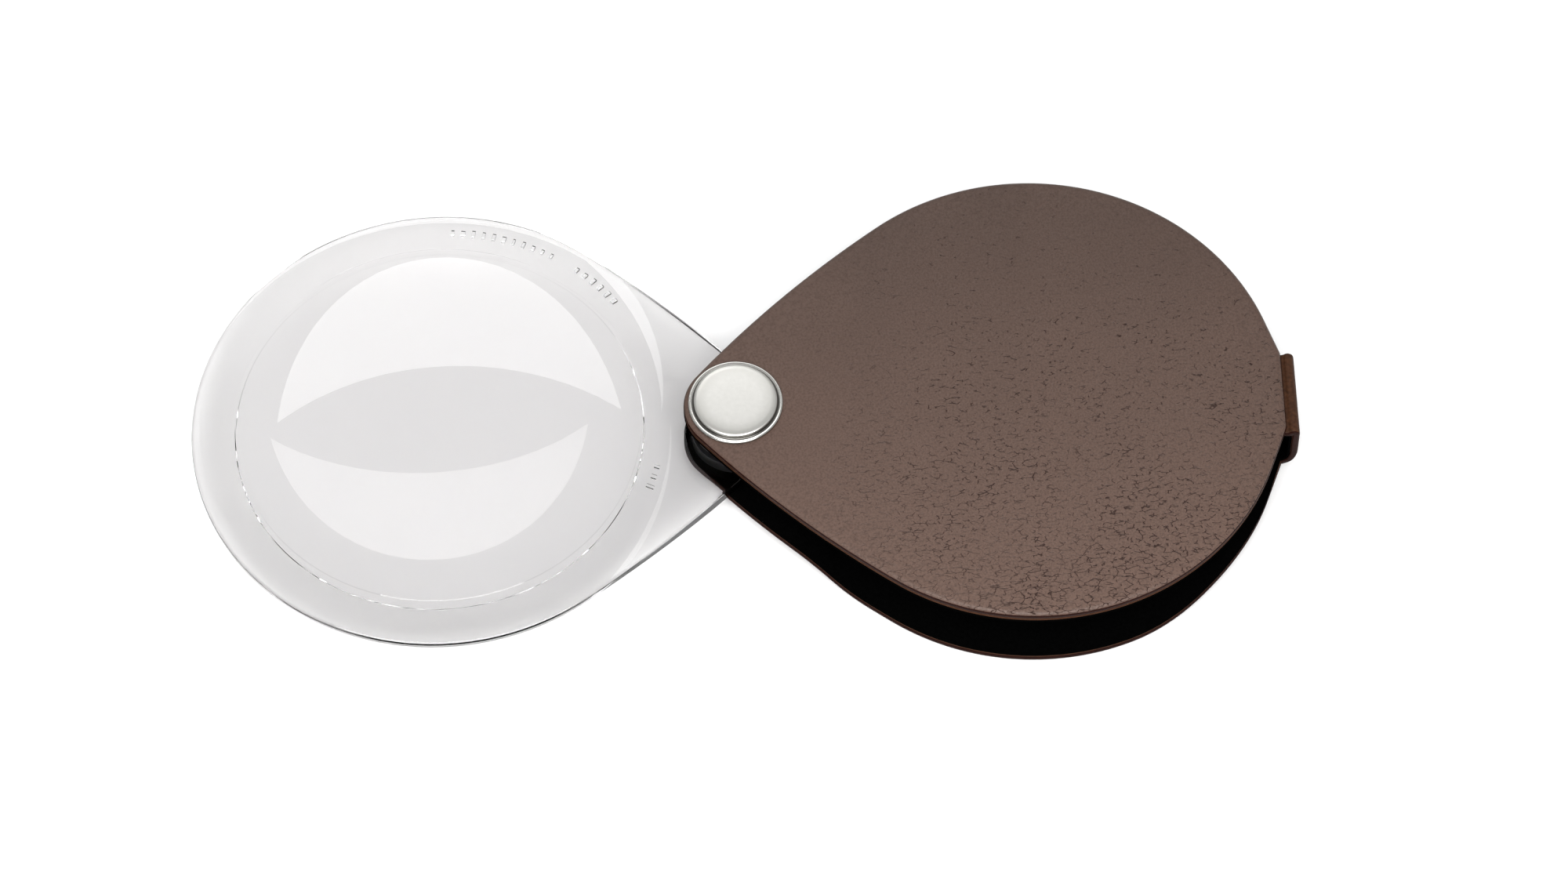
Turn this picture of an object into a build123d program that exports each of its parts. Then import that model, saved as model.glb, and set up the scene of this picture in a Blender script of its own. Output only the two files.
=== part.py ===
"""A folding pocket magnifier: a clear teardrop lens that swings out of a flat leather case on one rivet.

+Z is up and the case lies on its lower cover on the plane z = 0. +X runs from the rivet to the strap
that joins the two covers. The lens is swung out, opposite the strap. The origin is the centre of the
open magnifier's footprint, on the resting plane. Each sub-part is drawn from the rivet's axis.
"""

import os
from math import cos, radians, sin, sqrt

from build123d import *

# Case outline, in plan: a large arc and a small arc joined by slightly bulging flanks. Opposite the
# tail the outline runs out in two straight shoulders to the strap.
CASE_LOBE_RADIUS = 37.1
CASE_TAIL_RADIUS = 7.7
CASE_SPAN = 43.7  # rivet axis to the centre of the large arc
CASE_FLANK_RADIUS = 170.0
SHOULDER_REACH = 80.9
SHOULDER_SIDES = (-7.9, 6.9)
SHOULDER_CORNER = 2.0

# Case layers, from the outside in.
LEATHER = 1.1
BOARD = 0.6
LINING = 0.4
COVER = LEATHER + BOARD + LINING
SHELL = LEATHER + BOARD  # how deep the leather reaches where it wraps the board's edge
BOARD_INSET = 1.6  # the leather margin round each board
EDGE_ROUND = 0.55  # worn outer corner of the leather

# Case side view. The lower cover is flat in the middle and bowed up at both ends.
CASE_HEIGHT = 14.2
TAIL_RISE = 2.3
TAIL_RAMP = (7.6, 18.5)  # where the tail seat ends and where the flat begins, along X
STRAP_RISE = 3.2
STRAP_RAMP = (57.0, 77.0)

# Strap: the narrow bridge of leather between the covers, with no board in it.
STRAP_LEATHER = 1.2
STRAP_DROP = SHELL - STRAP_LEATHER  # how far the strap lies below the cover's face
STRAP_REACH = 82.9
STRAP_SIDES = (-7.6, 6.0)
STRAP_ROOT = 77.8
STRAP_TOP_BEND = 1.8
STRAP_LOW_BEND = 3.4
CREASE_X = 81.3
CREASE_RADIUS = 0.45
CREASE_DEPTH = 0.3

# Lens: a two-sided convex disc in a thin tapered flange with a thicker tail round the rivet.
LENS_RADIUS = 30.0
LENS_LEVEL = 7.8  # middle plane of the lens above the resting plane
LENS_TOP_SAG = 2.3
LENS_LOW_SAG = 1.2
DISC_EDGE = 3.6  # thickness where the disc meets its flange
FLANGE_LOBE_RADIUS = 36.75
FLANGE_TAIL_RADIUS = 7.3
FLANGE_SPAN = 44.0
FLANGE_FLANK_RADIUS = 210.0
FLANGE_RIM = 1.0
TAIL_THICKNESS = 2.3
TAIL_FLAT_END = 4.0  # the tail keeps its thickness this far past the rivet axis
TAIL_THIN_END = 22.0
OPEN_ANGLE = 178.34  # direction of the open lens, from +X

# Rivet: a capped post pressed into a capped tube.
TUBE_RADIUS = 2.5
TUBE_BORE = 1.6
POST_RADIUS = 1.55
HEAD_RADIUS = 5.9
HEAD_THICKNESS = 0.45
CAP_RADIUS = 7.0
CAP_FACE_RADIUS = 6.24
CAP_HEIGHT = 1.3
CAP_CROWN = 0.12
CAP_SHEET = 0.35
CAP_BEAD = 0.7  # height of the rolled rim
SPACER_RADIUS = 6.6
CASE_HOLE = TUBE_RADIUS + 0.1
RUNNING_CLEARANCE = 0.06
SIDE_CLEARANCE = 0.05  # between the lens tail and each spacer

# The footprint's centre is the origin, so the rivet stands a little off it.
lens_angle = radians(OPEN_ANGLE)
lens_centre_y = FLANGE_SPAN * sin(lens_angle)
lens_reach_x = FLANGE_LOBE_RADIUS - FLANGE_SPAN * cos(lens_angle)
RIVET_X = (lens_reach_x - STRAP_REACH) / 2
RIVET_Y = (CASE_LOBE_RADIUS - FLANGE_LOBE_RADIUS - lens_centre_y) / 2

top_inside = CASE_HEIGHT - COVER
tail_inside = TAIL_RISE + COVER


def level(height):
    """The horizontal plane at a height, drawn from the rivet's axis."""
    return Plane(origin=(RIVET_X, RIVET_Y, height))


def side_view():
    """The vertical plane through the rivet along +X: its x runs to the strap and its y runs up."""
    return Plane(origin=(RIVET_X, RIVET_Y, 0), x_dir=(1, 0, 0), z_dir=(0, -1, 0))


def lens_level():
    """The lens's middle plane, with x from the rivet to the centre of the disc."""
    return Plane(origin=(RIVET_X, RIVET_Y, LENS_LEVEL), x_dir=(cos(lens_angle), sin(lens_angle), 0))


def flank_points(lobe_radius, tail_radius, span, flank_radius):
    """Three points of the upper flank's arc, which meets the tail's arc and the lobe's smoothly."""
    from_tail = flank_radius - tail_radius
    from_lobe = flank_radius - lobe_radius
    centre_x = (from_tail**2 - from_lobe**2 + span**2) / (2 * span)
    centre = Vector(centre_x, -sqrt(from_tail**2 - centre_x**2))
    lobe_centre = Vector(span, 0)
    tail_joint = -centre.normalized() * tail_radius
    lobe_joint = lobe_centre + (lobe_centre - centre).normalized() * lobe_radius
    middle = centre + ((tail_joint + lobe_joint) / 2 - centre).normalized() * flank_radius
    return tail_joint, middle, lobe_joint


def teardrop(plane, lobe_radius, tail_radius, span, flank_radius, corners=(), corner_radius=0.0):
    """A teardrop outline from the rivet's axis, with its lobe stretched to round any corners given."""
    tail_joint, middle, lobe_joint = flank_points(lobe_radius, tail_radius, span, flank_radius)
    low_tail_joint, low_middle, low_lobe_joint = (
        Vector(point.X, -point.Y) for point in (tail_joint, middle, lobe_joint)
    )
    with BuildSketch(plane) as outline:
        if corners:
            with Locations((span, 0)):
                Circle(lobe_radius)
            with Locations(*corners):
                Circle(corner_radius)
            make_hull()
        with BuildLine():
            ThreePointArc(low_tail_joint, (-tail_radius, 0), tail_joint)
            ThreePointArc(tail_joint, middle, lobe_joint)
            ThreePointArc(lobe_joint, (span + lobe_radius, 0), low_lobe_joint)
            ThreePointArc(low_lobe_joint, low_middle, low_tail_joint)
        make_face()
    return outline.sketch


def case_outline(height, inset=0.0):
    """The case's outline at a height, drawn in by an inset all round."""
    near, far = SHOULDER_SIDES
    corner_x = SHOULDER_REACH - SHOULDER_CORNER
    return teardrop(
        level(height),
        CASE_LOBE_RADIUS - inset,
        CASE_TAIL_RADIUS - inset,
        CASE_SPAN,
        CASE_FLANK_RADIUS - inset,
        ((corner_x, near + SHOULDER_CORNER), (corner_x, far - SHOULDER_CORNER)),
        SHOULDER_CORNER - inset,
    )


def lower_line(depth):
    """Draw the lower cover's side line at a depth from its outer face, from the tail to the strap."""
    tail_end, flat_start = TAIL_RAMP
    flat_end, strap_start = STRAP_RAMP
    tail_middle = (tail_end + flat_start) / 2
    strap_middle = (flat_end + strap_start) / 2
    along = (1, 0)
    Line((-CASE_LOBE_RADIUS, TAIL_RISE + depth), (tail_end, TAIL_RISE + depth))
    fall = TangentArc((tail_end, TAIL_RISE + depth), (tail_middle, TAIL_RISE / 2 + depth), tangent=along)
    TangentArc((tail_middle, TAIL_RISE / 2 + depth), (flat_start, depth), tangent=fall % 1)
    Line((flat_start, depth), (flat_end, depth))
    rise = TangentArc((flat_end, depth), (strap_middle, STRAP_RISE / 2 + depth), tangent=along)
    TangentArc((strap_middle, STRAP_RISE / 2 + depth), (strap_start, STRAP_RISE + depth), tangent=rise % 1)
    Line((strap_start, STRAP_RISE + depth), (STRAP_REACH, STRAP_RISE + depth))


def lower_layer(outer_depth, inner_depth, inset=0.0):
    """One layer of the lower cover: the band between two side lines, cut to the case's outline."""
    with BuildPart() as layer:
        with BuildSketch(side_view()):
            with BuildLine():
                lower_line(outer_depth)
                lower_line(inner_depth)
                for x, rise in ((-CASE_LOBE_RADIUS, TAIL_RISE), (STRAP_REACH, STRAP_RISE)):
                    Line((x, rise + outer_depth), (x, rise + inner_depth))
            make_face()
        extrude(amount=CASE_LOBE_RADIUS + 1, both=True)
        extrude(case_outline(0, inset), amount=CASE_HEIGHT, mode=Mode.INTERSECT)
    return layer.part


def strap_line(depth):
    """Draw the strap's side line at a depth from its outer face, from the upper cover to the lower."""
    top = CASE_HEIGHT - STRAP_DROP
    low = STRAP_RISE + STRAP_DROP
    top_bend = (STRAP_REACH - STRAP_TOP_BEND, top - STRAP_TOP_BEND)
    low_bend = (STRAP_REACH - STRAP_LOW_BEND, low + STRAP_LOW_BEND)
    Line((STRAP_ROOT, top - depth), (top_bend[0], top - depth))
    CenterArc(top_bend, STRAP_TOP_BEND - depth, 0, 90)
    Line((STRAP_REACH - depth, top_bend[1]), (STRAP_REACH - depth, low_bend[1]))
    CenterArc(low_bend, STRAP_LOW_BEND - depth, 270, 90)
    Line((low_bend[0], low + depth), (STRAP_ROOT, low + depth))


def strap_layer(outer_depth, inner_depth):
    """One layer of the strap, as wide as the strap."""
    near, far = STRAP_SIDES
    top = CASE_HEIGHT - STRAP_DROP
    low = STRAP_RISE + STRAP_DROP
    with BuildPart() as layer:
        with BuildSketch(side_view().offset(-far)):
            with BuildLine():
                strap_line(outer_depth)
                strap_line(inner_depth)
                Line((STRAP_ROOT, top - outer_depth), (STRAP_ROOT, top - inner_depth))
                Line((STRAP_ROOT, low + outer_depth), (STRAP_ROOT, low + inner_depth))
            make_face()
        extrude(amount=far - near)
    return layer.part


def board(name, blank):
    """A stiffening board with its rivet hole, hidden between the leather and the lining."""
    with BuildPart() as piece:
        add(blank)
        with BuildSketch(level(0)):
            Circle(CASE_HOLE)
        extrude(amount=CASE_HEIGHT, mode=Mode.SUBTRACT)
    piece.part.label = name
    return piece.part


def cap(name, plane):
    """A pressed sheet cap: a rolled rim, a short riser and a slightly crowned round face."""
    skirt = HEAD_RADIUS + 0.05
    bead_inner = CAP_RADIUS - CAP_BEAD / 2
    riser = CAP_FACE_RADIUS + 0.1
    shoulder = CAP_HEIGHT - CAP_CROWN
    ceiling = shoulder - CAP_SHEET
    crown_radius = (CAP_FACE_RADIUS**2 + CAP_CROWN**2) / (2 * CAP_CROWN)
    with BuildPart() as piece:
        with BuildSketch(plane):
            with BuildLine():
                Line((skirt, 0), (bead_inner, 0))
                ThreePointArc((bead_inner, 0), (CAP_RADIUS, CAP_BEAD / 2), (bead_inner, CAP_BEAD))
                Line((bead_inner, CAP_BEAD), (riser, CAP_BEAD))
                Polyline((riser, CAP_BEAD), (riser, shoulder - 0.1), (CAP_FACE_RADIUS, shoulder))
                RadiusArc((CAP_FACE_RADIUS, shoulder), (0, CAP_HEIGHT), -crown_radius)
                Polyline((0, CAP_HEIGHT), (0, ceiling), (skirt, ceiling), (skirt, 0))
            make_face()
        revolve(axis=Axis(plane.origin, plane.y_dir))
    piece.part.label = name
    return piece.part


# --- Case -------------------------------------------------------------------

top_board = board("top_board", extrude(case_outline(CASE_HEIGHT - SHELL, BOARD_INSET), amount=BOARD))
bottom_board = board("bottom_board", lower_layer(LEATHER, SHELL, BOARD_INSET))

with BuildPart() as case_leather:
    extrude(case_outline(CASE_HEIGHT - SHELL), amount=SHELL)
    fillet(case_leather.faces().sort_by(Axis.Z)[-1].edges(), EDGE_ROUND)
    add(lower_layer(0, SHELL))
    add(strap_layer(0, STRAP_LEATHER))
    with BuildSketch(side_view().offset(-CASE_LOBE_RADIUS)):
        with Locations((CREASE_X, CASE_HEIGHT - STRAP_DROP - CREASE_DEPTH + CREASE_RADIUS)):
            Circle(CREASE_RADIUS)
    extrude(amount=2 * CASE_LOBE_RADIUS, mode=Mode.SUBTRACT)
    add(top_board, mode=Mode.SUBTRACT)
    add(bottom_board, mode=Mode.SUBTRACT)
    with BuildSketch(level(0)):
        Circle(CASE_HOLE)
    extrude(amount=CASE_HEIGHT, mode=Mode.SUBTRACT)
case_leather.part.label = "case_leather"

with BuildPart() as case_lining:
    extrude(case_outline(top_inside), amount=LINING)
    add(lower_layer(SHELL, COVER))
    add(strap_layer(STRAP_LEATHER, STRAP_LEATHER + LINING))
    with BuildSketch(level(0)):
        Circle(CASE_HOLE)
    extrude(amount=CASE_HEIGHT, mode=Mode.SUBTRACT)
    add(case_leather.part, mode=Mode.SUBTRACT)
case_lining.part.label = "case_lining"

# --- Lens -------------------------------------------------------------------

lens_side = Plane(
    origin=lens_level().origin, x_dir=lens_level().x_dir, z_dir=lens_level().x_dir.cross(Vector(0, 0, 1))
)
disc_side = lens_side.shift_origin(lens_level().from_local_coords((FLANGE_SPAN, 0, 0)))
half_rim = FLANGE_RIM / 2
half_edge = DISC_EDGE / 2
half_tail = TAIL_THICKNESS / 2

with BuildPart() as lens:
    # The tail: a wedge in side view, thickest round the rivet.
    with BuildSketch(lens_side):
        with BuildLine():
            Polyline(
                (-FLANGE_TAIL_RADIUS - 1, -half_tail),
                (TAIL_FLAT_END, -half_tail),
                (TAIL_THIN_END, -half_rim),
                (TAIL_THIN_END, half_rim),
                (TAIL_FLAT_END, half_tail),
                (-FLANGE_TAIL_RADIUS - 1, half_tail),
                close=True,
            )
        make_face()
    extrude(amount=FLANGE_LOBE_RADIUS + 1, both=True)
    # The disc, the flange that tapers from it to the rim, and thin sheet out past the tail.
    with BuildSketch(disc_side):
        with BuildLine():
            Line((0, half_edge + LENS_TOP_SAG), (0, -half_edge - LENS_LOW_SAG))
            RadiusArc(
                (0, -half_edge - LENS_LOW_SAG),
                (LENS_RADIUS, -half_edge),
                -(LENS_RADIUS**2 + LENS_LOW_SAG**2) / (2 * LENS_LOW_SAG),
            )
            Polyline(
                (LENS_RADIUS, -half_edge),
                (FLANGE_LOBE_RADIUS, -half_rim),
                (FLANGE_SPAN + 2 * FLANGE_TAIL_RADIUS, -half_rim),
                (FLANGE_SPAN + 2 * FLANGE_TAIL_RADIUS, half_rim),
                (FLANGE_LOBE_RADIUS, half_rim),
                (LENS_RADIUS, half_edge),
            )
            RadiusArc(
                (LENS_RADIUS, half_edge),
                (0, half_edge + LENS_TOP_SAG),
                -(LENS_RADIUS**2 + LENS_TOP_SAG**2) / (2 * LENS_TOP_SAG),
            )
        make_face()
    revolve(axis=Axis(disc_side.origin, (0, 0, 1)))
    # All of it trimmed to the teardrop outline.
    flange_outline = teardrop(
        lens_level(), FLANGE_LOBE_RADIUS, FLANGE_TAIL_RADIUS, FLANGE_SPAN, FLANGE_FLANK_RADIUS
    )
    trim_reach = half_edge + max(LENS_TOP_SAG, LENS_LOW_SAG)
    extrude(flange_outline, amount=trim_reach, both=True, mode=Mode.INTERSECT)
    # The hole that turns on the rivet's tube.
    with BuildSketch(lens_level().offset(-TAIL_THICKNESS)):
        Circle(TUBE_RADIUS + RUNNING_CLEARANCE)
    extrude(amount=2 * TAIL_THICKNESS, mode=Mode.SUBTRACT)
lens.part.label = "lens"

# --- Rivet and spacers ------------------------------------------------------

rivet_cap_top = cap(
    "rivet_cap_top", Plane(origin=(RIVET_X, RIVET_Y, CASE_HEIGHT), x_dir=(1, 0, 0), z_dir=(0, -1, 0))
)
rivet_cap_bottom = cap(
    "rivet_cap_bottom", Plane(origin=(RIVET_X, RIVET_Y, TAIL_RISE), x_dir=(1, 0, 0), z_dir=(0, 1, 0))
)

with BuildPart() as rivet_post:
    with BuildSketch(level(CASE_HEIGHT)):
        Circle(HEAD_RADIUS)
    extrude(amount=HEAD_THICKNESS)
    with BuildSketch(level(tail_inside)):
        Circle(POST_RADIUS)
    extrude(amount=CASE_HEIGHT - tail_inside)
    chamfer(rivet_post.edges().group_by(Axis.Z)[0], 0.4)
rivet_post.part.label = "rivet_post"

with BuildPart() as rivet_tube:
    with BuildSketch(level(TAIL_RISE - HEAD_THICKNESS)):
        Circle(HEAD_RADIUS)
    extrude(amount=HEAD_THICKNESS)
    with BuildSketch(level(TAIL_RISE)):
        Circle(TUBE_RADIUS)
    extrude(amount=CASE_HEIGHT - TAIL_RISE)
    with BuildSketch(level(0)):
        Circle(TUBE_BORE)
    extrude(amount=CASE_HEIGHT, mode=Mode.SUBTRACT)
rivet_tube.part.label = "rivet_tube"

spacers = {
    "spacer_top": (LENS_LEVEL + TAIL_THICKNESS / 2 + SIDE_CLEARANCE, top_inside),
    "spacer_bottom": (tail_inside, LENS_LEVEL - TAIL_THICKNESS / 2 - SIDE_CLEARANCE),
}

# --- Files ------------------------------------------------------------------

pieces = [
    case_leather.part,
    case_lining.part,
    top_board,
    bottom_board,
    lens.part,
    rivet_cap_top,
    rivet_cap_bottom,
    rivet_post.part,
    rivet_tube.part,
]

for name, (low, high) in spacers.items():
    with BuildPart() as spacer:
        with BuildSketch(level(low)):
            Circle(SPACER_RADIUS)
            Circle(CASE_HOLE, mode=Mode.SUBTRACT)
        extrude(amount=high - low)
    spacer.part.label = name
    pieces.append(spacer.part)

os.makedirs("parts", exist_ok=True)
for piece in pieces:
    export_step(piece, f"parts/{piece.label}.step")
print(f"rivet axis at x = {RIVET_X:.3f}, y = {RIVET_Y:.3f} mm; {len(pieces)} pieces")
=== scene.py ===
# %% [markdown]
# # A folding magnifier in a leather case
#
# The object is a clear acrylic lens that swings on one rivet out of a flat leather case. Its parts come
# from a CAD model with exact sizes, and this file gives them their looks. Loading the model first
# means that every piece below can take its place from it. Only small details of shape are drawn here.

import math

import bmesh
import bpy
import numpy as np
from mathutils import Matrix, Vector, noise


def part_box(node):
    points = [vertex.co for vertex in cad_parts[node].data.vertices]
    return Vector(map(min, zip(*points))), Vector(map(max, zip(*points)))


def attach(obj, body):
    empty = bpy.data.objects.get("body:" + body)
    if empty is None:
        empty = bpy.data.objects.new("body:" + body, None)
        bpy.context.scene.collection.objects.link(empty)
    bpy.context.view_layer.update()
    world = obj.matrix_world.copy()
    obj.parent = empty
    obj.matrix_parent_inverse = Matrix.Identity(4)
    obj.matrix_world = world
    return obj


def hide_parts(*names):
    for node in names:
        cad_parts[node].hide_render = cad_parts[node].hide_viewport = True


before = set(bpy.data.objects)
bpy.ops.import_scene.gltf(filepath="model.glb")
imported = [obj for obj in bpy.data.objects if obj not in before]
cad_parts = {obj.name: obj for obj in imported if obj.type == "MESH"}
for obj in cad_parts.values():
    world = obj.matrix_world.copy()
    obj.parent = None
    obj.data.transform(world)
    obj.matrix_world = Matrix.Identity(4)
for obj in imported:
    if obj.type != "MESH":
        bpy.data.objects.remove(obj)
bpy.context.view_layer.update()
MM = 0.001

# %% [markdown]
# ## Places and sizes
#
# The rivet is the one place that everything is measured from, so its axis is read from the model: it is
# the middle of a spacer's box. The case's length, height and cover thickness come from its nodes too.
# The few radii that a box can't tell are the design's own driving sizes, in millimetres.

# %% Places from the model, and the design's own sizes
spacer_low, spacer_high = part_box("spacer_top")
RIVET_X = (spacer_low.x + spacer_high.x) / 2 / MM
RIVET_Y = (spacer_low.y + spacer_high.y) / 2 / MM

leather_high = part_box("case_leather")[1]
lining_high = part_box("case_lining")[1]
CASE_TOP = leather_high.z / MM
SHELL = (leather_high.z - lining_high.z) / MM
STRAP_REACH = leather_high.x / MM - RIVET_X

CASE_OUTLINE = {"lobe": 37.1, "tail": 7.7, "span": 43.7, "flank": 170.0}
LENS_OUTLINE = {"lobe": 36.75, "tail": 7.3, "span": 44.0, "flank": 210.0}
SHOULDER_REACH = 80.9
# The shoulders are drawn 0.4 mm wider than the model's, with corners 0.2 mm tighter.
SHOULDER_SIDES = (-8.3, 7.3)
SHOULDER_CORNER = 1.8
OPEN_ANGLE = math.radians(178.34)
TAIL_RISE = 2.3
TAIL_RAMP = (7.6, 18.5)
STRAP_RISE = 3.2
STRAP_RAMP = (57.0, 77.0)
HOLE_RADIUS = 2.6

print(f"rivet at {RIVET_X:.2f}, {RIVET_Y:.2f} mm; leather {SHELL:.2f} mm; strap at {STRAP_REACH:.2f} mm")

# %% [markdown]
# ## Small helpers
#
# Colours are easiest to choose as sRGB hex values, but shader sockets take linear numbers, so one function
# turns one into the other. A second adds a node to any tree and sets or links its inputs in the same call,
# which keeps each material short enough to read.

# %% Colour and node helpers
def linear(colour):
    """An sRGB hex value as the linear RGBA that a socket takes."""
    channels = [int(colour[i : i + 2], 16) / 255 for i in (1, 3, 5)]
    return (*[c / 12.92 if c <= 0.04045 else ((c + 0.055) / 1.055) ** 2.4 for c in channels], 1.0)


def add_node(tree, kind, inputs=(), output=None, **settings):
    """Add a node and give it back, or just one of its outputs.

    inputs are values, or sockets to link, in the node's order or by name. settings are its properties.
    """
    made = tree.nodes.new(kind)
    for name, value in settings.items():
        setattr(made, name, value)
    for name, value in inputs.items() if isinstance(inputs, dict) else enumerate(inputs):
        if isinstance(value, bpy.types.NodeSocket):
            tree.links.new(value, made.inputs[name])
        else:
            made.inputs[name].default_value = value
    return made if output is None else made.outputs[output]


def new_material(name, **shader_inputs):
    """A material with one Principled shader: its uniform values go straight on the shader's sockets."""
    material = bpy.data.materials.new(name)
    material.use_nodes = True
    tree = material.node_tree
    tree.nodes.clear()
    output = tree.nodes.new("ShaderNodeOutputMaterial")
    values = {key.replace("_", " "): value for key, value in shader_inputs.items()}
    shader = add_node(tree, "ShaderNodeBsdfPrincipled", values)
    tree.links.new(shader.outputs["BSDF"], output.inputs["Surface"])
    return material, tree, shader


# %% [markdown]
# ## Mesh helpers
#
# Most pieces here are closed shells made of rings of points: a cover is its outline drawn again and again,
# first inwards over the face and then round the edge. So one function joins rings into a closed skin.
# Another joins or cuts closed meshes, which is how a hole or a raised mark becomes part of a piece.

# %% Rings to a closed mesh, joining and cutting
def mesh_object(name, points, faces, materials=(), face_materials=None, smooth=True):
    """A mesh object at the origin from points in millimetres."""
    mesh = bpy.data.meshes.new(name)
    mesh.from_pydata([tuple(p) for p in np.asarray(points).reshape(-1, 3) * MM], [], faces)
    for material in materials:
        mesh.materials.append(material)
    if face_materials is not None:
        mesh.polygons.foreach_set("material_index", face_materials)
    mesh.polygons.foreach_set("use_smooth", [smooth] * len(mesh.polygons))
    made = bpy.data.objects.new(name, mesh)
    bpy.context.scene.collection.objects.link(made)
    return made


def skin(rings, closed_along=False):
    """Quads between neighbouring rings of equal length."""
    count = len(rings[0])
    pairs = len(rings) if closed_along else len(rings) - 1
    faces = []
    for k in range(pairs):
        a, b = k * count, ((k + 1) % len(rings)) * count
        faces += [(a + i, a + (i + 1) % count, b + (i + 1) % count, b + i) for i in range(count)]
    return faces


def clean(piece):
    """Merge points that meet, drop empty faces and turn every face outwards."""
    work = bmesh.new()
    work.from_mesh(piece.data)
    bmesh.ops.remove_doubles(work, verts=work.verts, dist=1e-7)
    bmesh.ops.dissolve_degenerate(work, edges=work.edges, dist=1e-8)
    bmesh.ops.recalc_face_normals(work, faces=work.faces)
    work.to_mesh(piece.data)
    work.free()


def combine(piece, other, how):
    """Join another closed mesh to piece, or cut it out, and remove the other."""
    cut = piece.modifiers.new(how.lower(), "BOOLEAN")
    cut.operation = how
    cut.solver = "MANIFOLD"
    cut.object = other
    bpy.context.view_layer.update()
    result = bpy.data.meshes.new_from_object(piece.evaluated_get(bpy.context.evaluated_depsgraph_get()))
    piece.modifiers.clear()
    old = piece.data
    piece.data = result
    bpy.data.meshes.remove(old)
    bpy.data.objects.remove(other)


def round_bar(name, radius, low, high, sides=96):
    """A plain upright bar on the rivet's axis, to cut a hole with."""
    turn = np.linspace(0, 2 * math.pi, sides, endpoint=False)
    ring = np.stack([RIVET_X + radius * np.cos(turn), RIVET_Y + radius * np.sin(turn)], 1)
    points = [(*p, z) for z in (low, high) for p in ring]
    faces = skin([range(sides)] * 2) + [tuple(range(sides))[::-1], tuple(range(sides, 2 * sides))]
    return mesh_object(name, points, faces)


def finish_piece(piece, body, slot, *nodes, sharp=35):
    """Set sharp edges, hang the piece on its body's empty, and hide the model's nodes that it stands for."""
    piece.data.set_sharp_from_angle(angle=math.radians(sharp))
    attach(piece, body)
    if nodes:
        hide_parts(*nodes)
    print(f"{piece.name}: {sum(len(p.vertices) - 2 for p in piece.data.polygons)} triangles")


# %% [markdown]
# ## The camera
#
# The magnifier is seen from above and in front, at 60 degrees, through a long lens from nearly a metre
# away, which keeps both halves in proportion. The camera is rolled a little, as a hand-set one is.

# %% Camera
CAMERA_ELEVATION = math.radians(60.10)
CAMERA_AZIMUTH = math.radians(0.47)
CAMERA_ROLL = math.radians(-1.505)
CAMERA_DISTANCE = 940.3
CAMERA_FOCAL_MM = 144.54
AIM = Vector((RIVET_X, RIVET_Y, 0.22))
AIM_RIGHT = 7.04  # the picture's centre lies this far right of the rivet and above it, in mm
AIM_UP = 1.51


def camera_axes(azimuth, elevation, roll):
    """The camera's right, up and backward directions."""
    ahead = Vector((math.sin(azimuth), math.cos(azimuth), 0))
    side = Vector((math.cos(azimuth), -math.sin(azimuth), 0))
    forward = ahead * math.cos(elevation) - Vector((0, 0, 1)) * math.sin(elevation)
    above = ahead * math.sin(elevation) + Vector((0, 0, 1)) * math.cos(elevation)
    right = side * math.cos(roll) + above * math.sin(roll)
    up = above * math.cos(roll) - side * math.sin(roll)
    return right, up, -forward


right, up, back = camera_axes(CAMERA_AZIMUTH, CAMERA_ELEVATION, CAMERA_ROLL)
centre = AIM + right * AIM_RIGHT + up * AIM_UP
place = AIM + back * CAMERA_DISTANCE
back = (place - centre).normalized()
right = (right - back * right.dot(back)).normalized()
up = back.cross(right)

camera_data = bpy.data.cameras.new("camera")
camera_data.lens = CAMERA_FOCAL_MM
camera_data.sensor_width = 36
camera_data.clip_start = 0.05
camera_data.clip_end = 20
camera = bpy.data.objects.new("camera", camera_data)
camera.matrix_world = Matrix.Translation(place * MM) @ Matrix((right, up, back)).transposed().to_4x4()
bpy.context.scene.collection.objects.link(camera)
bpy.context.scene.camera = camera
print("camera at, mm:", [round(v) for v in place])

# %% [markdown]
# ## Floor and light
#
# A clear lens has no look of its own: it shows what stands behind it and mirrors what stands round it. So
# the light is laid out for the lens. A glowing crescent stands behind it, between 41 and 54 degrees above
# the table at its middle, and shows as a bright patch with curved borders in each of the lens's two faces.
# A soft panel stands above and in front, which throws the lens's shadow back under it and keeps glare off
# the leather. The room itself is pale above and behind, and falls off to dark in front, which draws the
# lens's edges and the rivet's riser in grey.

# %% Floor, room and soft lights
white_table, _, _ = new_material("white_table", Base_Color=linear("#F4F4F4"), Roughness=0.9)
bpy.ops.mesh.primitive_plane_add(size=6)
floor = bpy.context.object
floor.name = "floor"
floor.data.materials.append(white_table)

ROOM_BRIGHT = 0.78
ROOM_DARK = 0.06
room = bpy.data.worlds.new("room")
room.use_nodes = True
tree = room.node_tree
facing = add_node(tree, "ShaderNodeTexCoord").outputs["Generated"]
height_and_depth = add_node(
    tree, "ShaderNodeVectorMath", {0: facing, 1: (0.0, 0.6, 1.0)}, operation="DOT_PRODUCT"
).outputs["Value"]
fall_off = {"From Min": -0.35, "From Max": 0.55, "To Min": ROOM_DARK, "To Max": ROOM_BRIGHT}
brightness = add_node(
    tree, "ShaderNodeMapRange", {"Value": height_and_depth, **fall_off}, interpolation_type="SMOOTHSTEP"
).outputs["Result"]
background = tree.nodes["Background"]
background.inputs["Color"].default_value = linear("#FFFFFF")
tree.links.new(brightness, background.inputs["Strength"])
bpy.context.scene.world = room


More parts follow.
